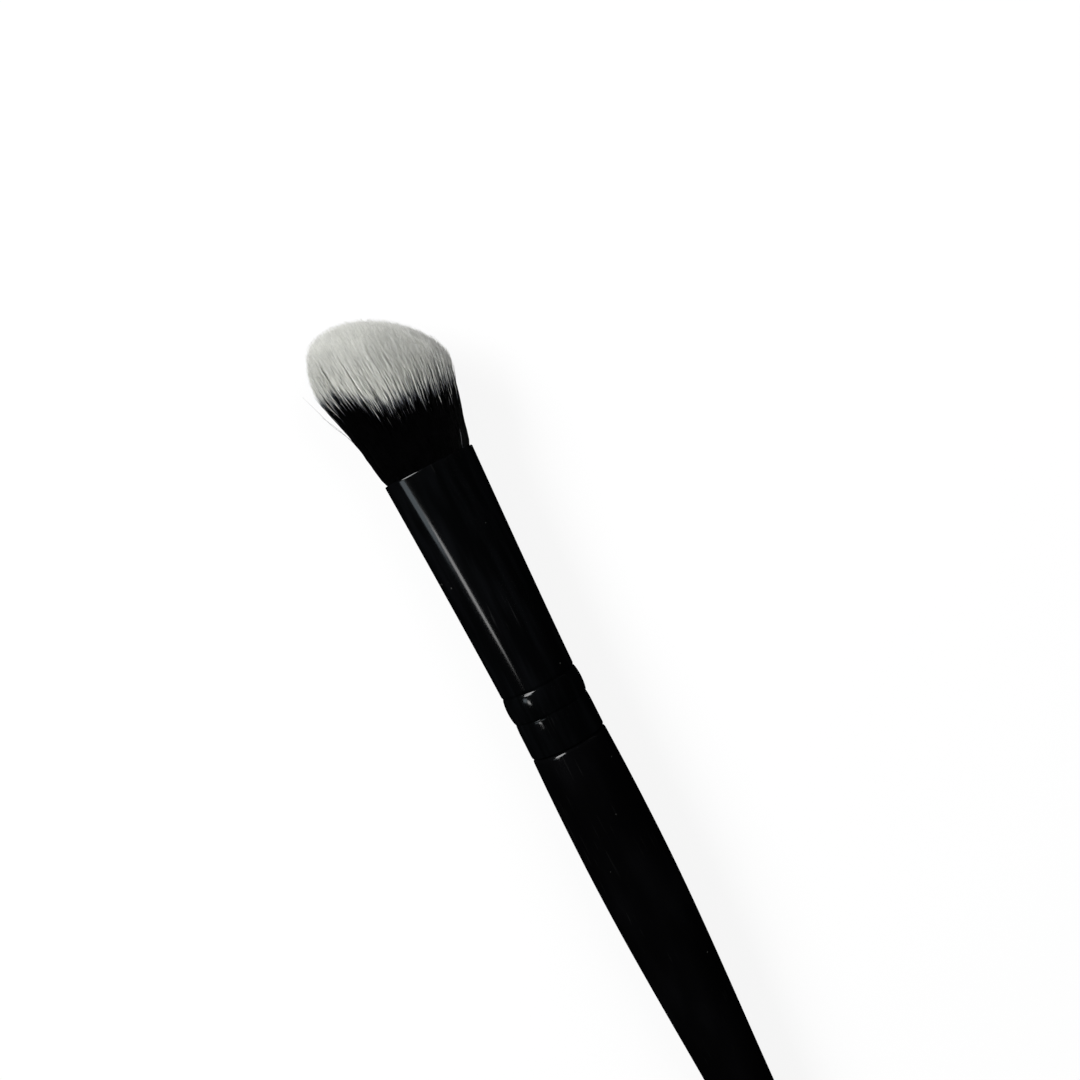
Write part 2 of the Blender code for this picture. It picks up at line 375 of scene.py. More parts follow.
@dataclass(frozen=True)
class FibreFinish:
    """Two-tone fibre, read from the fibre's own map: a column for each tone, and the distance past its dye line.

    The dye gives way to half_dyed and then to a pale tone, each over a run in shares of fade. That tone climbs from
    low_share to all of itself between fade and tips_from: painted light, which makes the fibres brighter towards their
    tips.
    """

    name: str = "two_tone_fibre"
    columns: int = 128
    reach_below: float = 22 * MM
    reach_above: float = 12 * MM
    dyed: Colour = (0.0008, 0.0008, 0.0009)
    half_dyed: Colour = (0.12, 0.126, 0.142)
    pale: Colour = (0.965, 0.97, 0.9)
    shaded: Colour = (0.7, 0.705, 0.652)
    tones: Range = (0.45, 1.35)
    own_tone: float = 0.3
    blotch_tone: float = 0.5
    blotch_scale: float = 700.0
    blotch_shift: float = 7.31
    fade: float = 1.1 * MM
    half_dyed_run: Range = (-0.3, 0.4)
    pale_run: Range = (0.15, 1.15)
    tips_from: float = 8.0 * MM
    low_share: float = 0.77
    painted_tip_light_power: float = 1.5
    roughness: Range = (0.42, 0.62)
    specular: float = 0.05
    specular_tint: Colour = (0.4, 0.4, 0.4)
    glow_depth: float = 0.08 * MM

    @property
    def reach(self) -> float:
        """The whole distance along the fibre that the map's height stands for."""
        return self.reach_below + self.reach_above

    def material(self) -> Material:
        """Makes the fibre's material.

        Returns:
            The material.
        """
        graph = MaterialGraph(self.name)
        split = graph.add("ShaderNodeSeparateXYZ", {"Vector": graph.out("ShaderNodeUVMap", uv_map=FIBRE_MAP)})
        column = (split["X"] * self.columns).math("FLOOR")
        past = split["Y"] * self.reach - self.reach_below
        chance = graph.add("ShaderNodeTexWhiteNoise", {"W": column}, noise_dimensions="1D")["Color"]
        chances = graph.add("ShaderNodeSeparateColor", {"Color": chance})
        along = graph.out("ShaderNodeCombineXYZ", {"X": column * self.blotch_shift, "Y": past})
        tone = chances["Red"] * self.own_tone + column / self.columns
        tone += along.noise(self.blotch_scale, detail=2.0) * self.blotch_tone
        # Painted light: the pale tone is darker just past the dye line and brightens towards the tips.
        painted_tip_light = past.ramp(self.fade, self.tips_from) ** self.painted_tip_light_power * (1.0 - self.low_share) + self.low_share
        painted_tip_light = graph.out("ShaderNodeCombineColor", {"Red": painted_tip_light, "Green": painted_tip_light, "Blue": painted_tip_light})
        pale = {0: 1.0, 6: tone.ramp(*self.tones).tint(self.shaded, self.pale), 7: painted_tip_light}
        pale = graph.out("ShaderNodeMix", pale, data_type="RGBA", blend_type="MULTIPLY")
        half, full = (past.ramp(*(share * self.fade for share in run)) for run in (self.half_dyed_run, self.pale_run))
        return graph.dressed({
            "Base Color": full.tint(half.tint(self.dyed, self.half_dyed), pale),
            "Roughness": chances["Green"].between(*self.roughness),
            "Specular IOR Level": self.specular,
            "Specular Tint": self.specular_tint,
            "Subsurface Weight": 1.0,
            "Subsurface Radius": (1.0, 1.0, 1.0),
            "Subsurface Scale": self.glow_depth,
        })


@dataclass(frozen=True)
class GlueFinish:
    """Cast glue: amber, clouded with fine bubbles."""

    name: str = "cast_root_glue"
    clear: Colour = (0.42, 0.3, 0.12)
    cloudy: Colour = (0.62, 0.52, 0.32)
    cloud_scale: float = 420.0
    clouds: Range = (0.3, 0.7)
    bubble_colour: Colour = (0.8, 0.74, 0.6)
    bubble_scale: float = 2200.0
    bubble_edge: Range = (0.3, 0.12)
    bubble_share: float = 0.4
    bubble_height: float = 0.01 * MM
    roughness: Range = (0.18, 0.38)

    def material(self) -> Material:
        """Makes the glue's material.

        Returns:
            The material.
        """
        graph = MaterialGraph(self.name)
        place = graph.place()
        cloud = place.noise(self.cloud_scale, detail=4.0)
        cells = graph.add("ShaderNodeTexVoronoi", {"Vector": place, "Scale": self.bubble_scale})["Distance"]
        bubble = cells.ramp(*self.bubble_edge)
        base = cloud.ramp(*self.clouds).tint(self.clear, self.cloudy)
        return graph.dressed({
            "Base Color": (bubble * self.bubble_share).tint(base, self.bubble_colour),
            "Roughness": cloud.between(*self.roughness),
            "Normal": graph.relief(bubble * self.bubble_height),
        })


@dataclass(frozen=True)
class ThreadFinish:
    """Waxed cotton thread, wound round the bundle turn beside turn."""

    name: str = "waxed_thread"
    turn_width: float = 0.2 * MM
    turn_height: float = 0.05 * MM
    cotton: Colour = (0.66, 0.6, 0.48)
    # Painted shade: the colour that the thread takes down in the grooves between turns.
    painted_groove_shade: Colour = (0.28, 0.24, 0.17)
    painted_shade_edge: Range = (0.0, 0.6)
    twist_scale: float = 5200.0
    twist_painted_shade: Ramp = (0.25, 0.6, 0.7, 1.0)
    twist_height: float = 0.3
    roughness: Range = (0.55, 0.85)

    def material(self, axis: BrushAxis) -> Material:
        """Makes the thread's material.

        Args:
            axis: The brush's axis, which the turns go round.

        Returns:
            The material.
        """
        graph = MaterialGraph(self.name)
        turned = graph.place_along(axis)
        along = graph.add("ShaderNodeSeparateXYZ", {"Vector": turned})["X"]
        round_top = abs((along * (math.pi / self.turn_width)).math("SINE"))
        twist = turned.noise(self.twist_scale, detail=3.0)
        # Painted shade: lit darkens the thread towards the grooves between turns and in the low spots of its twist.
        lit = round_top.ramp(*self.painted_shade_edge) * twist.ramp(*self.twist_painted_shade)
        return graph.dressed({
            "Base Color": lit.tint(self.painted_groove_shade, self.cotton),
            "Roughness": twist.between(*self.roughness),
            "Normal": graph.relief((round_top + twist * self.twist_height) * self.turn_height),
        })


def rounded(points: list[Point], passes: int) -> list[Point]:
    """Cuts the corners of an open outline.

    Args:
        points: The outline.
        passes: How often every corner is cut.

    Returns:
        The rounder outline, with the same two ends.
    """
    for _ in range(passes):
        cut = [points[0]]
        for pair in zip(points, points[1:]):
            for share in (CORNER_CUT, 1 - CORNER_CUT):
                cut.append(tuple((1 - share) * near + share * far for near, far in zip(*pair)))
        points = cut + [points[-1]]
    return points


def band(bm: BMesh, near: list[BMVert], far: list[BMVert]) -> list[BMFace]:
    """Joins two rings of points with a band of faces."""
    nexts = [*range(1, len(near)), 0]
    return [bm.faces.new((near[i], near[j], far[j], far[i])) for i, j in enumerate(nexts)]


def skinned(name: str, rings: list[list[Vector]], is_tube: bool) -> Mesh:
    """Skins closed rings of points in order.

    Args:
        name: The mesh's name.
        rings: Rings with the same number of points.
        is_tube: Joins the last ring to the first; otherwise both ends are capped.

    Returns:
        The closed mesh, its faces outwards.
    """
    bm = bmesh.new()
    made = [[bm.verts.new(point) for point in ring] for ring in rings]
    for near, far in zip(made, made[1:] + made[:1] if is_tube else made[1:]):
        band(bm, near, far)
    if not is_tube:
        bm.faces.new(made[0])
        bm.faces.new(made[-1])
    bmesh.ops.recalc_face_normals(bm, faces=bm.faces)
    mesh = bpy.data.meshes.new(name)
    bm.to_mesh(mesh)
    bm.free()
    mesh.shade_smooth()
    mesh.set_sharp_from_angle(angle=SHARP_ANGLE)
    return mesh


def oval(x: float, half_width: float, half_thickness: float, sides: int) -> list[Vector]:
    """Points of an oval ring square to the brush, at the distance x from the butt."""
    angles = [2 * math.pi * i / sides for i in range(sides)]
    return [Vector((x, half_width * math.cos(a), half_thickness * math.sin(a))) for a in angles]


def linked(name: str, data: bpy.types.ID) -> Object:
    """Puts a new object in the scene.

    Args:
        name: The object's name.
        data: Its mesh, lamp or camera.

    Returns:
        The object.
    """
    made = bpy.data.objects.new(name, data)
    bpy.context.scene.collection.objects.link(made)
    return made


def shown(mesh: Mesh, material: Material) -> Object:
    """Puts a mesh in the scene under its own name, in the given material."""
    mesh.materials.append(material)
    return linked(mesh.name, mesh)


@dataclass(frozen=True)
class Handle:
    """The turned handle: outline from butt to shoulder, and the tenon inside the ferrule.

    The stem, the flank and the belly are points (x, radius), and slopes are the outline's there and at the shoulder.
    """

    length: float = 122.0 * MM
    butt_flat: float = 0.8 * MM
    butt_rounding: float = 2.2 * MM
    butt_radius: float = 2.1 * MM
    stem: Point = (44.0 * MM, 2.2 * MM)
    flank: Point = (85.0 * MM, 3.32 * MM)
    belly: Point = (110.0 * MM, 4.235 * MM)
    shoulder_radius: float = 4.05 * MM
    shoulder_rounding: float = 0.4 * MM
    slopes: tuple[float, ...] = (0.009, 0.05, 0.0, -0.035)
    fit_gap: float = 0.1 * MM
    tenon: tuple[Point, ...] = ((126.9 * MM, 3.68 * MM), (134.4 * MM, 3.5 * MM), (135.0 * MM, 2.9 * MM))
    sides: int = 96
    steps: int = 24
    butt_steps: int = 10
    shoulder_steps: int = 8

    def outline(self) -> list[Point]:
        """The visible outline.

        Returns:
            Points (x, radius) from the butt to the tenon's end.
        """
        points = []
        for step in range(self.butt_steps):
            turn = math.pi / 2 * step / self.butt_steps
            radius = self.butt_flat + (self.butt_radius - self.butt_flat) * math.sin(turn)
            points.append((self.butt_rounding * (1 - math.cos(turn)), radius))
        end = self.length - self.fit_gap - self.shoulder_rounding
        stations = [(self.butt_rounding, self.butt_radius, 0.0)]
        for spot, slope in zip((self.stem, self.flank, self.belly, (end, self.shoulder_radius)), self.slopes):
            stations.append((*spot, slope))
        for (x0, r0, s0), (x1, r1, s1) in zip(stations, stations[1:]):
            run = x1 - x0
            for step in range(self.steps):
                t = step / self.steps
                radius = (2 * t**3 - 3 * t**2 + 1) * r0 + (t**3 - 2 * t**2 + t) * run * s0
                radius += (3 * t**2 - 2 * t**3) * r1 + (t**3 - t**2) * run * s1
                points.append((x0 + t * run, radius))
        for step in range(self.shoulder_steps + 1):
            turn = math.pi / 2 * step / self.shoulder_steps
            x = end + self.shoulder_rounding * math.sin(turn)
            points.append((x, self.shoulder_radius - self.shoulder_rounding * (1 - math.cos(turn))))
        return points + [(self.length - self.fit_gap, self.tenon[0][1])] + list(self.tenon)

    def build(self, axis: BrushAxis, material: Material) -> Object:
        """Makes the handle in place of the plain one.

        Args:
            axis: Where the brush lies.
            material: Its lacquer.

        Returns:
            The handle.
        """
        rings = [oval(x, radius, radius, self.sides) for x, radius in self.outline()]
        piece = shown(axis.place(skinned("turned_handle", rings, is_tube=False)), material)
        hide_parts("handle")
        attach(piece, "root")
        return piece


@dataclass(frozen=True)
class Ferrule:
    """The metal tube: round at the lip, crimped with a bead between two grooves, pressed oval at the mouth.

    The grooves' points are (distance from the bead's foot, share of the grooves' depth).
    """

    lip: float = 122.0 * MM
    length: float = 31.0 * MM
    wall: float = 0.25 * MM
    round_radius: float = 4.03 * MM
    mouth_half: Point = (4.85 * MM, 3.05 * MM)
    flat_from_lip: float = 6.9 * MM
    flattening_power: float = 1.2
    bead_from_lip: float = 5.25 * MM
    bead_half: float = 1.3 * MM
    bead_height: float = 0.14 * MM
    bead_steps: int = 8
    groove_depth: float = 0.085 * MM
    first_groove: tuple[Point, ...] = ((1.15 * MM, 0.0), (0.4 * MM, 0.45), (0.22 * MM, 1.0), (0.1 * MM, 1.0))
    second_groove: tuple[Point, ...] = ((0.1 * MM, 1.0), (0.2 * MM, 1.0), (0.38 * MM, 0.0))
    crimp_passes: int = 3
    first_step: float = 0.2 * MM
    last_step: float = 0.06 * MM
    rim_steps: int = 5
    sides: int = 144
    steps: int = 44

    def section(self, x: float, inset: float) -> Point:
        """Half width and half thickness of the plain tube.

        Args:
            x: Distance from the butt.
            inset: How far the section is drawn in.

        Returns:
            The two halves.
        """
        start = self.lip + self.flat_from_lip
        along = (x - start) / (self.lip + self.length - start)
        pressed = min(max(along, 0.0), 1.0) ** self.flattening_power
        wide, thick = (self.round_radius + (half - self.round_radius) * pressed for half in self.mouth_half)
        return wide - inset, thick - inset

    def ring(self, from_lip: float, inset: float) -> list[Vector]:
        """Points of the tube's ring at a distance from the lip."""
        return oval(self.lip + from_lip, *self.section(self.lip + from_lip, inset), self.sides)

    def crimp(self) -> list[Point]:
        """The crimp's outline.

        Returns:
            Points (distance from the lip, offset from the plain tube).
        """
        low, high = self.bead_from_lip - self.bead_half, self.bead_from_lip + self.bead_half
        points = [(low - run, -share * self.groove_depth) for run, share in self.first_groove]
        for step in range(self.bead_steps + 1):
            across = 2 * step / self.bead_steps - 1
            points.append((self.bead_from_lip + self.bead_half * across, self.bead_height * (1 - across**2)))
        points += [(high + run, -share * self.groove_depth) for run, share in self.second_groove]
        return rounded(points, self.crimp_passes)

    def build(self, axis: BrushAxis, material: Material) -> Object:
        """Makes the ferrule in place of the plain one.

        Args:
            axis: Where the brush lies.
            material: Its black finish.

        Returns:
            The ferrule.
        """
        half_wall = self.wall / 2
        start, end = self.flat_from_lip + self.first_step, self.length - half_wall
        stations = [(half_wall, 0.0)] + self.crimp()
        stations += [(start + (end - start) * step / self.steps, 0.0) for step in range(self.steps)]
        stations += [(end - self.last_step, 0.0), (end, 0.0)]
        outside = [self.ring(from_lip, -offset) for from_lip, offset in stations]
        inside = [self.ring(from_lip, self.wall - offset) for from_lip, offset in stations]
        mouth, lip = [], []
        for step in range(1, self.rim_steps):
            turn = math.pi * step / self.rim_steps
            inset, out = half_wall * (1 - math.cos(turn)), half_wall * math.sin(turn)
            mouth.append(oval(self.lip + end + out, *self.section(self.lip + end, inset), self.sides))
            lip.append(oval(self.lip + half_wall - out, *self.section(self.lip, self.wall - inset), self.sides))
        rings = outside + mouth + inside[::-1] + lip
        piece = shown(axis.place(skinned("ferrule_tube", rings, is_tube=True)), material)
        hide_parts("ferrule")
        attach(piece, "root")
        return piece


class FibreGraph(Graph):
    """The geometry tree that grows a layer of fibres, with its inputs at hand as size."""

    def __init__(self, inputs: dict[str, tuple[str, object]]) -> None:
        """Makes the tree.

        Args:
            inputs: Socket types and defaults by name.
        """
        super().__init__(bpy.data.node_groups.new("flared_fibres", "GeometryNodeTree"))
        group_sockets(self.tree, inputs, {"Geometry": "NodeSocketGeometry"})
        self.size = self.add("NodeGroupInput")

    def number(self) -> Value:
        """Each fibre's number in the whole head."""
        return self.out("GeometryNodeInputIndex") + self.size["First Fibre"]

    def chance(self, draw: Draw) -> Value:
        """A number from −1 to 1 for each fibre."""
        inputs = {"Min": -1.0, "Max": 1.0, "ID": self.number(), "Seed": self.size["Seed"] + draw.value}
        return self.out("FunctionNodeRandomValue", inputs, data_type="FLOAT")

    def fact(self, name: str) -> Value:
        """Reads one of the fibre's facts."""
        return self.out("GeometryNodeInputNamedAttribute", {"Name": name}, data_type="FLOAT")

    def store(self, shape: Value, facts: dict[str, Value], kind: str = "FLOAT", domain: str = "POINT") -> Value:
        """Writes facts into a shape.

        Args:
            shape: Points, curves or a mesh.
            facts: Values by name.
            kind: The values' data type.
            domain: What each value belongs to.

        Returns:
            The shape with its facts.
        """
        for name, value in facts.items():
            inputs = {"Geometry": shape, "Name": name, "Value": value}
            shape = self.out("GeometryNodeStoreNamedAttribute", inputs, data_type=kind, domain=domain)
        return shape


@dataclass(frozen=True)
class Head:
    """The flared bundle of fibres: its sizes, and the nodes that grow it.

    A fibre's place in the bundle is across, from −1 to 1 at the long side, and deep, from −1 to 1 at the top. Round
    painted_shade_spot, as far as painted_shade_reach, the fibres are up to painted_shade_depth less pale: a painted
    shade, a darker patch on the dome. In the finish's map, column_margin stays free at both sides of a column, and
    column_slack keeps the palest in the last one. The nodes take sizes as inputs.
    """

    mouth: float = 153.0 * MM
    total: int = 17400
    rings: int = 12
    seed: int = 11
    place_jitter: float = 1.2
    long_side_power: float = 8.0
    dye_rise: Range = (-0.05, 1.0)
    dye_edge_power: float = 5.0
    straggler_power: float = 5.0
    patch_scale: float = 3.5
    patch_contrast: float = 1.2
    own_tone: float = 0.3
    # Painted shade: a darker patch on the dome, round painted_shade_spot.
    painted_shade_spot: Point = (-0.42, 0.86)
    painted_shade_reach: float = 0.42
    painted_shade_depth: float = 0.6
    root_end: float = 0.03
    flare_easing: float = 0.2
    bulge_start: Range = (-0.1 * MM, 0.5 * MM)
    bend_power: float = 1.4
    clump_turn: float = 0.12
    tip_lean_start: float = 0.9
    bow_peak: float = 27 / 4
    phase_across: float = 1.0
    phase_deep: float = 3.0
    tip_taper: Ramp = (0.62, 1.0, 1.0, 0.25)
    root_taper: Range = (0.78, 1.0)
    sides: int = 3
    column_margin: float = 0.2
    column_slack: float = 0.01
    sizes: dict[str, float] = field(
        default_factory=lambda: {
            "Root Depth": 9.5 * MM, "Cinch Share": 0.8, "Bulge": 0.14 * MM, "Bulge Length": 4.5 * MM,
            "Mouth Half Width": 4.53 * MM, "Mouth Half Thickness": 2.72 * MM,
            "Head Half Width": 6.8 * MM, "Head Half Thickness": 4.25 * MM, "Flare Length": 9.6 * MM,
            "Head Lean": -0.2 * MM, "Tip Lean": 0.7 * MM, "Long Side Bow": 0.18 * MM, "Long Side Drop": 2.1 * MM,
            "Shortest Reach": 10.0 * MM, "Dome Height": 5.9 * MM, "Dome Tilt": 2.14 * MM, "Dome Fullness": 0.88,
            "Reach Scatter": 0.4 * MM, "Lean Scatter": 0.3 * MM, "Clump Spread": 0.03 * MM, "Clump Size": 40.0,
            "Crimp Height": 0.06 * MM, "Crimp Length": 3.3 * MM, "Crimp Start": 4.0 * MM, "Fibre Radius": 0.036 * MM,
            "Dye Line": 6.52 * MM, "Dye Rise": 3.1 * MM, "Dye Tilt": 0.25 * MM, "Dye Edge Rise": 0.5 * MM,
            "Dye Scatter": 0.52 * MM, "Dye Stragglers": 2.0 * MM,
        }
    )

    def tree(self, finish: FibreFinish) -> NodeTree:
        """Builds the nodes that grow a layer of fibres.

        Args:
            finish: The fibre's finish, whose map the nodes write.

        Returns:
            The geometry tree.
        """
        inputs = {"Geometry": ("NodeSocketGeometry", None)}
        whole = {"Total Fibres": self.total, "First Fibre": 0, "Fibre Count": 10}
        whole |= {"Rings": self.rings, "Seed": self.seed}
        inputs |= {name: ("NodeSocketInt", value) for name, value in whole.items()}
        inputs |= {name: ("NodeSocketFloat", value) for name, value in self.sizes.items()}
        inputs["Material"] = ("NodeSocketMaterial", None)
        graph = FibreGraph(inputs)
        mesh = self.skin_fibres(graph, self.shape_fibres(graph, self.draw_fibres(graph)), finish)
        graph.add("NodeGroupOutput", {"Geometry": mesh})
        return graph.tree

    def draw_fibres(self, graph: FibreGraph) -> Value:
        """Gives each fibre its place in the bundle, reach and dye line, on a straight curve of its own.

        Args:
            graph: The tree under construction.

        Returns:
            The curves, which run from x = 0 to x = 1.
        """
        size, number = graph.size, graph.number()
        share = ((number + 0.5) / size["Total Fibres"]).math("SQRT")
        angle = number * GOLDEN_ANGLE
        jitter = graph.math("DIVIDE", self.place_jitter, size["Total Fibres"].math("SQRT"))
        across = graph.chance(Draw.ACROSS) * jitter + share * angle.math("COSINE")
        deep = graph.chance(Draw.DEEP) * jitter + share * angle.math("SINE")
        left = 1.0 - across * across - deep * deep * size["Dome Fullness"]
        reach = left.at_least(0.0).math("SQRT") * size["Dome Height"] + size["Shortest Reach"]
        reach += across * size["Dome Tilt"]
        reach -= across.at_least(0.0) ** self.long_side_power * size["Long Side Drop"]
        scatter = graph.chance(Draw.REACH)
        reach += scatter * abs(scatter) * size["Reach Scatter"]
        above = across.ramp(*self.dye_rise)
        above = above * above * (above * -2.0 + 3.0)
        line = above * size["Dye Rise"] + size["Dye Line"]
        line += across * size["Dye Tilt"]
        line += (across * -1.0).at_least(0.0) ** self.dye_edge_power * size["Dye Edge Rise"]
        line += (graph.chance(Draw.LINE) + graph.chance(Draw.LINE_AGAIN)) * size["Dye Scatter"]
        line += graph.chance(Draw.STRAGGLE) ** self.straggler_power * size["Dye Stragglers"]
        facts = {
            "across": across,
            "deep": deep,
            "reach": reach,
            "dye_line": line,
            "tone": self.tone(graph, across, deep),
            "lean_wide": graph.chance(Draw.LEAN_WIDE),
            "lean_thick": graph.chance(Draw.LEAN_THICK),
            "phase": graph.chance(Draw.PHASE) * math.pi,
        }
        points = graph.store(graph.out("GeometryNodePoints", {"Count": size["Fibre Count"]}), facts)
        straight = graph.out("GeometryNodeCurvePrimitiveLine", {"Start": (0, 0, 0), "End": (1, 0, 0)})
        straight = graph.out("GeometryNodeResampleCurve", {"Curve": straight, "Count": size["Rings"]})
        placed = graph.out("GeometryNodeInstanceOnPoints", {"Points": points, "Instance": straight})
        return graph.out("GeometryNodeRealizeInstances", {"Geometry": placed})

    def tone(self, graph: FibreGraph, across: Value, deep: Value) -> Value:
        """How pale each fibre is, partly by chance and partly like its neighbours.

        Args:
            graph: The tree under construction.
            across: The fibre's place across the bundle.
            deep: Its place through the bundle.

        Returns:
            The tone, from 0 to 1.
        """
        patches = graph.out("ShaderNodeCombineXYZ", {"X": across, "Y": deep}).noise(self.patch_scale, detail=1.0)
        shared = (patches - 0.5) * self.patch_contrast + 0.5
        # Painted shade: fibres round painted_shade_spot are made up to painted_shade_depth less pale, as a darker
        # patch on the dome.
        aside, beyond = across - self.painted_shade_spot[0], deep - self.painted_shade_spot[1]
        painted_shade = (aside * aside + beyond * beyond).ramp(0.0, self.painted_shade_reach**2, self.painted_shade_depth, 0.0)
        drawn = graph.chance(Draw.TONE) * self.own_tone + shared - painted_shade
        return drawn.at_most(1.0).at_least(0.0)

    def shape_fibres(self, graph: FibreGraph, curves: Value) -> Value:
        """Bends the straight curves into the flared bundle.

        Args:
            graph: The tree under construction.
            curves: The straight curves.

        Returns:
            The bent curves, with their height past the mouth as an attribute.
        """
        size = graph.size
        spot = graph.add("ShaderNodeSeparateXYZ", {"Vector": graph.out("GeometryNodeInputPosition")})["X"]
        first = graph.math("DIVIDE", 1.0, size["Rings"] - 1.0)
        held = size["Root Depth"] * spot.ramp(0.0, first, -1.0, -self.root_end)
        height = (size["Root Depth"] * self.root_end + graph.fact("reach")) * spot.ramp(first, 1.0) + held
        inward = (height / size["Root Depth"]).at_most(0.0)
        outward = (height / size["Flare Length"]).at_least(0.0).math("SMOOTH_MIN", 1.0, self.flare_easing)
        free = (height / size["Shortest Reach"]).at_least(0.0)
        bend = (free**self.bend_power).at_most(1.0)
        swell = (1.0 - height / size["Bulge Length"]).at_least(0.0) * height.ramp(*self.bulge_start)
        clump = {"X": graph.fact("across"), "Y": graph.fact("deep"), "Z": free * self.clump_turn}
        clump = {"Vector": graph.out("ShaderNodeCombineXYZ", clump), "Scale": size["Clump Size"], "Detail": 3.0}
        drift = graph.add("ShaderNodeSeparateXYZ", {"Vector": graph.add("ShaderNodeTexNoise", clump)["Color"]})
        wave = height * (2 * math.pi) / size["Crimp Length"]
        crimp = size["Crimp Height"] * height.ramp(0.0, size["Crimp Start"])
        sides = []
        for place, half, lean, axis, phase in (
            ("across", "Width", "lean_wide", "X", self.phase_across),
            ("deep", "Thickness", "lean_thick", "Y", self.phase_deep),
        ):
            mouth, head = size[f"Mouth Half {half}"], size[f"Head Half {half}"]
            wide = inward * (mouth * (1.0 - size["Cinch Share"])) + mouth
            wide += outward * (head - mouth)
            wide += swell * size["Bulge"]
            offset = graph.fact(lean) * size["Lean Scatter"] * bend
            offset += (drift[axis] - 0.5) * size["Clump Spread"] * bend
            offset += (graph.fact("phase") * phase + wave).math("SINE") * crimp
            sides.append(graph.fact(place) * wide + offset)
        across, deep = sides
        across += outward * size["Head Lean"]
        across += (height / size["Flare Length"] - self.tip_lean_start).at_least(0.0) * size["Tip Lean"]
        bowed = outward * outward * (1.0 - outward) * -self.bow_peak * graph.fact("across").at_least(0.0)
        across += bowed * size["Long Side Bow"]
        place = graph.out("ShaderNodeCombineXYZ", {"X": height + self.mouth, "Y": across, "Z": deep})
        taper = spot.ramp(*self.tip_taper) * height.ramp(0.0, size["Shortest Reach"], *self.root_taper)
        curves = graph.store(curves, {"height": height, "thickness": size["Fibre Radius"] * taper})
        return graph.out("GeometryNodeSetPosition", {"Geometry": curves, "Position": place})

    def skin_fibres(self, graph: FibreGraph, curves: Value, finish: FibreFinish) -> Value:
        """Gives the curves their thickness and the map that the finish reads.

        Args:
            graph: The tree under construction.
            curves: The bent curves.
            finish: The fibre's finish.

        Returns:
            The mesh.
        """
        profile = graph.out("GeometryNodeCurvePrimitiveCircle", {"Resolution": self.sides, "Radius": 1.0})
        profile = graph.store(profile, {"around": graph.out("GeometryNodeInputIndex") / (self.sides - 1.0)})
        skin = {"Curve": curves, "Profile Curve": profile, "Scale": graph.fact("thickness"), "Fill Caps": True}
        mesh = graph.out("GeometryNodeCurveToMesh", skin)
        column = (graph.fact("tone") * (finish.columns - self.column_slack)).math("FLOOR")
        inside = graph.fact("around") * (1.0 - 2 * self.column_margin) + self.column_margin
        past = graph.fact("height") - graph.fact("dye_line")
        spot = {"X": (column + inside) / finish.columns, "Y": (past + finish.reach_below) / finish.reach}
        mesh = graph.store(mesh, {FIBRE_MAP: graph.out("ShaderNodeCombineXYZ", spot)}, "FLOAT2", "CORNER")
        mesh = graph.out("GeometryNodeSetShadeSmooth", {"Geometry": mesh, "Shade Smooth": True})
        mesh = graph.out("GeometryNodeRealizeInstances", {"Geometry": mesh})
        return graph.out("GeometryNodeSetMaterial", {"Geometry": mesh, "Material": graph.size["Material"]})

    def grow(self, layer: Layer, tree: NodeTree, axis: BrushAxis, material: Material) -> Object:
        """Grows one layer of fibres as a plain mesh.

        Args:
            layer: Which layer.
            tree: The fibre tree.
            axis: Where the brush lies.
            material: The fibre's material.

        Returns:
            The layer.
        """
        name = f"fibres_{layer.name.lower()}"
        piece = shown(bpy.data.meshes.new(name), material)
        grower = piece.modifiers.new("Grow fibres", "NODES")
        grower.node_group = tree
        sockets = {s.name: s.identifier for s in tree.interface.items_tree if s.in_out == "INPUT"}
        first, end = (round(self.total * share) for share in layer.value)
        values = {"Total Fibres": self.total, "First Fibre": first, "Fibre Count": end - first, "Material": material}
        for label, value in values.items():
            grower[sockets[label]] = value
        graph = bpy.context.evaluated_depsgraph_get()
        grown = piece.evaluated_get(graph)
        mesh = bpy.data.meshes.new_from_object(grown, preserve_all_data_layers=True, depsgraph=graph)
        piece.modifiers.remove(grower)
        piece.data = axis.place(mesh)
        mesh.name = name
        for attribute in [a.name for a in mesh.attributes if a.name in FIBRE_FACTS]:
            mesh.attributes.remove(mesh.attributes[attribute])
        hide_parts("bristle_tuft")
        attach(piece, "root")
        return piece


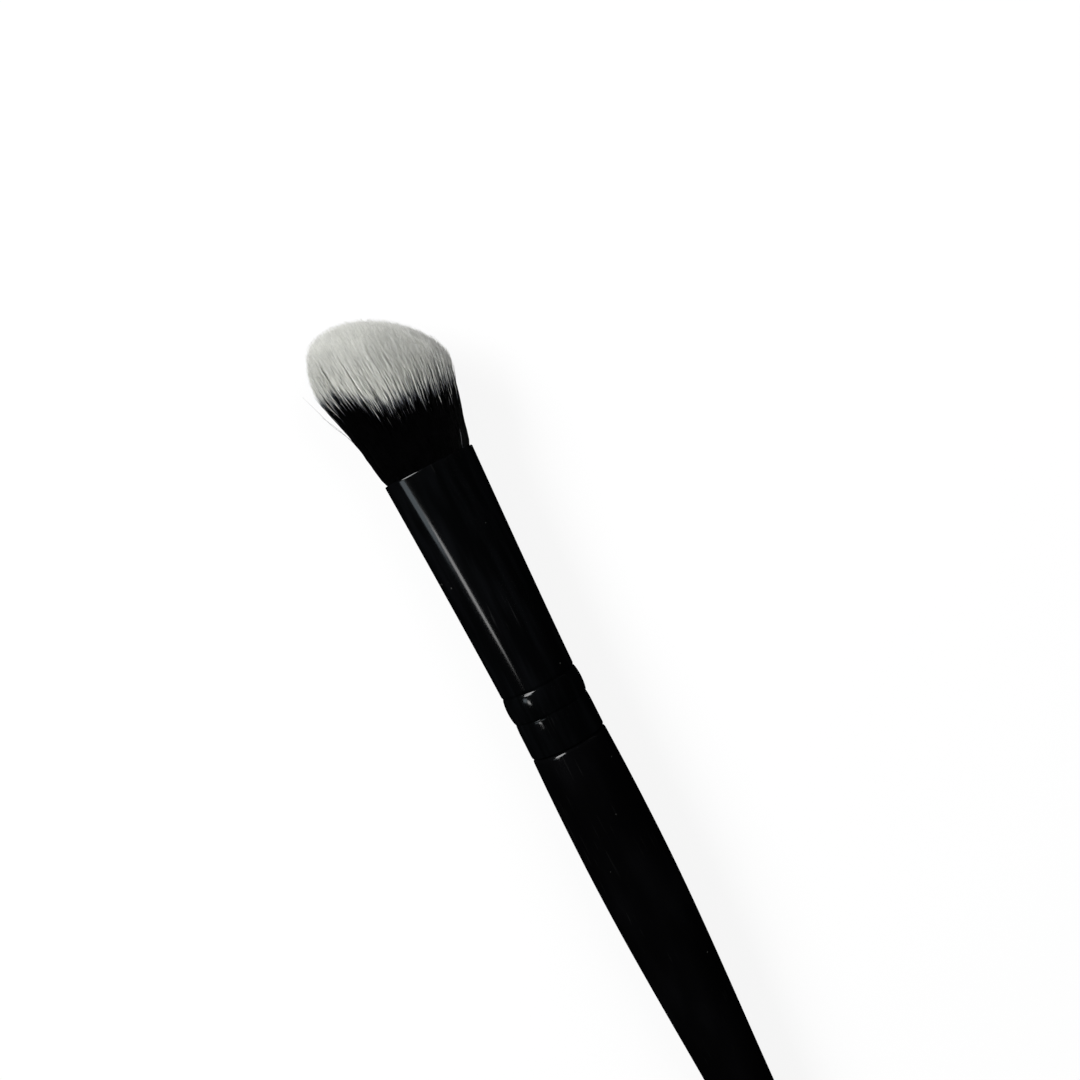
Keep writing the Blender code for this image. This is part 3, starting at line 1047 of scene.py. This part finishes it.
@dataclass(frozen=True)
class StrayFibres:
    """The few fibres that stand off the bundle, each as points (height past the mouth, to the long side, up) in mm.

    past_dye says how far past its dye line each leaves the mouth, and shade_slope how fast that grows along it. In its
    column of the map, a face's corners lie column_step apart from column_start on.
    """

    mouth: float = 153.0 * MM
    paths: tuple[tuple[Spot, ...], ...] = (
        ((-1.0, 4.1, 0.2), (3.0, 4.8, 0.3), (5.7, 5.7, 0.4), (7.8, 6.7, 0.5), (9.7, 7.35, 0.55), (11.6, 8.0, 0.6)),
        ((-1.0, 4.1, 0.4), (3.0, 4.8, 0.5), (5.5, 5.65, 0.6), (7.2, 6.3, 0.7), (9.0, 7.2, 0.8)),
        ((-1.0, -3.8, 1.2), (0.2, -3.95, 1.55), (0.8, -4.15, 1.75), (1.4, -4.35, 1.7), (2.0, -4.5, 1.5)),
    )
    past_dye: tuple[float, ...] = (-6.0 * MM, -5.0 * MM, 0.1 * MM)
    shade_slope: float = 0.2
    columns: tuple[int, ...] = (20, 50, 80)
    column_start: float = 0.3
    column_step: float = 0.1
    radius: float = 0.014 * MM
    tip_taper: float = 0.7
    taper_power: int = 3
    sides: int = 5
    steps: int = 8

    def build(self, axis: BrushAxis, finish: FibreFinish, material: Material) -> Object:
        """Makes the stray fibres.

        Args:
            axis: Where the brush lies.
            finish: The fibre's finish, whose map they carry.
            material: The fibre's material.

        Returns:
            The stray fibres.
        """
        bm = bmesh.new()
        uv = bm.loops.layers.uv.new(FIBRE_MAP)
        for path, past_dye, column in zip(self.paths, self.past_dye, self.columns):
            curve = self.smooth([Vector((self.mouth + h * MM, y * MM, z * MM)) for h, y, z in path])
            rings = []
            for step, spot in enumerate(curve):
                ahead = curve[min(step + 1, len(curve) - 1)] - curve[max(step - 1, 0)]
                turn = ahead.to_track_quat("X", "Z").to_matrix()
                radius = self.radius * (1 - self.tip_taper * (step / (len(curve) - 1)) ** self.taper_power)
                rings.append([bm.verts.new(spot + turn @ point) for point in oval(0, radius, radius, self.sides)])
            faces = [bm.faces.new(rings[0][::-1]), bm.faces.new(rings[-1])]
            for near, far in zip(rings, rings[1:]):
                faces += band(bm, near, far)
            for face in faces:
                for index, loop in enumerate(face.loops):
                    past = (loop.vert.co.x - self.mouth) * self.shade_slope + past_dye
                    u = (column + self.column_start + self.column_step * index) / finish.columns
                    loop[uv].uv = (u, (past + finish.reach_below) / finish.reach)
        bmesh.ops.recalc_face_normals(bm, faces=bm.faces)
        mesh = bpy.data.meshes.new("stray_fibres")
        bm.to_mesh(mesh)
        bm.free()
        mesh.shade_smooth()
        piece = shown(axis.place(mesh), material)
        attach(piece, "root")
        return piece

    def smooth(self, spots: list[Vector]) -> list[Vector]:
        """A smooth line through the points.

        Args:
            spots: The points.

        Returns:
            A denser list of points.
        """
        padded = [2 * spots[0] - spots[1], *spots, 2 * spots[-1] - spots[-2]]
        line = []
        for a, b, c, d in zip(padded, padded[1:], padded[2:], padded[3:]):
            for step in range(self.steps):
                t = step / self.steps
                bent = (2 * a - 5 * b + 4 * c - d) * t**2 + (3 * b - a - 3 * c + d) * t**3
                line.append(0.5 * (2 * b + (c - a) * t + bent))
        return line + [spots[-1]]


@dataclass(frozen=True)
class RootGlue:
    """The front slice of the cast glue, which the fibres' roots stand in."""

    front: float = 144.0 * MM
    thickness: float = 2.0 * MM
    gap: float = 0.35 * MM
    edge: float = 0.12 * MM
    sides: int = 64

    def build(self, axis: BrushAxis, ferrule: Ferrule, material: Material) -> Object:
        """Makes the slice.

        Args:
            axis: Where the brush lies.
            ferrule: The tube that it fills.
            material: The glue.

        Returns:
            The slice.
        """
        back = self.front - self.thickness
        outline = ((back, self.edge), (back + self.edge, 0.0), (self.front - self.edge, 0.0), (self.front, self.edge))
        rings = [oval(x, *ferrule.section(x, self.gap + inset), self.sides) for x, inset in outline]
        piece = shown(axis.place(skinned("root_glue_slice", rings, is_tube=False)), material)
        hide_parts("bristle_tuft")
        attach(piece, "root")
        return piece


@dataclass(frozen=True)
class Lamp:
    """A soft oval lamp round the head: its middle's place from there, its two sizes, its turn and its radiance.

    A lamp that isn't glossy leaves no highlight of its own on the lacquer.
    """

    name: str
    offset: Spot
    along: float
    across: float
    turn: float
    radiance: float
    colour: Colour = (1.0, 1.0, 1.0)
    is_glossy: bool = True

    def build(self, target: Vector) -> Object:
        """Hangs the lamp.

        Args:
            target: What it faces.

        Returns:
            The lamp.
        """
        data = bpy.data.lights.new(self.name, "AREA")
        data.shape = "ELLIPSE"
        data.size = self.along
        data.size_y = self.across
        data.energy = self.radiance * math.pi * self.along * self.across * math.pi / 4
        data.color = self.colour
        made = linked(self.name, data)
        made.visible_glossy = self.is_glossy
        back = Vector(self.offset).normalized()
        across = back.cross(Vector((1, 0, 0))).normalized()
        facing = Matrix((across.cross(back), across, back)).transposed().to_4x4()
        turned = Matrix.Rotation(math.radians(self.turn), 4, "Z")
        made.matrix_world = Matrix.Translation(target + Vector(self.offset)) @ facing @ turned
        return made


@dataclass(frozen=True)
class Studio:
    """The pale floor, the surroundings, the lamps and the camera.

    To the eye and to gloss, floor_lift makes the floor white. Gloss sees the world white up to horizon, then zenith.
    """

    target: Spot = (0.056, 0.0, 0.006)
    floor_radius: float = 3.0
    floor_drop: float = 0.06 * MM
    floor_lift: float = 0.87
    floor_roughness: float = 0.9
    paper_scale: float = 30.0
    paper: tuple[Colour, Colour] = ((0.1, 0.1, 0.1), (0.11, 0.11, 0.11))
    ambient: float = 0.25
    zenith: float = 0.0
    horizon: float = 0.03
    camera_distance: float = 145.0 * MM
    look_at: Spot = (0.05653, -0.00661, 0.0051)
    camera_up: Spot = (0.8932, -0.4497, 0.0)
    camera_tilt: float = math.radians(2.5)
    focal_length: float = 48.3
    sensor_width: float = 36.0
    clip_start: float = 5.0 * MM
    lamps: tuple[Lamp, ...] = (
        Lamp("key_strip", (-0.0142, 0.3629, 0.344), 0.074, 0.056, 42.0, 9.5),
        Lamp("key_strip_end", (-0.0465, 0.3426, 0.3648), 0.029, 0.036, 42.0, 4.5),
        Lamp("low_cool_strip", (0.028, 0.408, 0.289), 0.06, 0.11, 0.0, 3.6, (0.8, 0.92, 1.0)),
        Lamp("high_cool_strip", (0.14, 0.27, 0.4), 0.09, 0.09, 0.0, 3.6, (0.8, 0.92, 1.0)),
        Lamp("tip_softbox", (0.38, 0.33, 0.345), 0.56, 0.28, 0.0, 14.5),
        Lamp("front_fill", (0.15, -0.3, 0.4), 0.4, 0.4, 0.0, 3.0, is_glossy=False),
    )

    def floor(self) -> Object:
        """Lays the floor.

        Returns:
            The floor.
        """
        bm = bmesh.new()
        bmesh.ops.create_circle(bm, cap_ends=True, segments=96, radius=self.floor_radius)
        mesh = bpy.data.meshes.new("studio_floor")
        bm.to_mesh(mesh)
        bm.free()
        mesh.transform(Matrix.Translation((0, 0, -self.floor_drop)))
        graph = MaterialGraph("studio_floor")
        paper = graph.place().noise(self.paper_scale, detail=2.0)
        light = graph.add("ShaderNodeLightPath")
        seen = light["Is Camera Ray"].at_least(light["Is Glossy Ray"]).at_least(light["Is Transmission Ray"])
        material = graph.dressed({
            "Base Color": paper.tint(*self.paper),
            "Roughness": self.floor_roughness,
            "Specular IOR Level": 0.0,
            "Emission Color": (1, 1, 1),
            "Emission Strength": seen * self.floor_lift,
        })
        piece = shown(mesh, material)
        return piece

    def surroundings(self) -> bpy.types.World:
        """Makes the world: even for soft light, white to the eye, and to gloss white at the horizon and dark overhead.

        Returns:
            The world.
        """
        world = bpy.data.worlds.new("studio")
        world.use_nodes = True
        graph = Graph(world.node_tree)
        background = world.node_tree.nodes["Background"].inputs
        place = graph.add("ShaderNodeTexCoord")["Generated"]
        height = graph.add("ShaderNodeSeparateXYZ", {"Vector": place})["Z"]
        light = graph.add("ShaderNodeLightPath")
        strength = light["Is Glossy Ray"].between(self.ambient, height.ramp(0.0, self.horizon, 1.0, self.zenith))
        eyed = light["Is Camera Ray"].at_least(light["Is Transmission Ray"])
        graph.feed(background["Color"], (1, 1, 1))
        graph.feed(background["Strength"], eyed.between(strength, 1.0))
        bpy.context.scene.world = world
        return world

    def camera(self) -> Object:
        """Sets up the camera over the head, nearly straight down.

        Returns:
            The camera.
        """
        data = bpy.data.cameras.new("camera")
        data.sensor_width = self.sensor_width
        data.lens = self.focal_length
        data.clip_start = self.clip_start
        made = linked("camera", data)
        back = Vector((math.sin(self.camera_tilt), 0, math.cos(self.camera_tilt)))
        right = Vector(self.camera_up).cross(back).normalized()
        turn = Matrix((right, back.cross(right), back)).transposed().to_4x4()
        made.matrix_world = Matrix.Translation(Vector(self.look_at) + back * self.camera_distance) @ turn
        bpy.context.scene.camera = made
        return made

    def build(self) -> None:
        """Puts up the whole studio."""
        self.floor()
        self.surroundings()
        for lamp in self.lamps:
            lamp.build(Vector(self.target))
        self.camera()
        bpy.context.scene.view_settings.view_transform = "Standard"


def redress(node: str, material: Material) -> Object:
    """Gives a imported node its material.

    Args:
        node: The node's name.
        material: What it wears.

    Returns:
        The node's object.
    """
    piece = frame["nodes"][node]
    for slot in piece.material_slots:
        slot.material = material
    return piece


def main() -> None:
    """Builds and dresses the brush, then the studio."""
    logging.basicConfig(level=logging.INFO, format="%(name)s: %(message)s")
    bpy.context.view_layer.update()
    axis = BrushAxis.from_record(frame["record"])
    marks = HandlingMarks().group()
    ferrule = Ferrule()
    pieces = [
        Handle().build(axis, LACQUER.material(axis, marks)),
        ferrule.build(axis, BLACK_METAL.material(axis, marks)),
    ]
    finish = FibreFinish()
    fibre = finish.material()
    head = Head()
    tree = head.tree(finish)
    pieces += [head.grow(layer, tree, axis, fibre) for layer in Layer]
    pieces.append(StrayFibres().build(axis, finish, fibre))
    glue = GlueFinish().material()
    pieces.append(RootGlue().build(axis, ferrule, glue))
    pieces.append(redress("root_glue_plug", glue))
    pieces.append(redress("binding_thread", ThreadFinish().material(axis)))
    for piece in pieces:
        log.info("%s: %d faces", piece.name, len(piece.data.polygons))
    Studio().build()


if __name__ == "__main__":
    main()
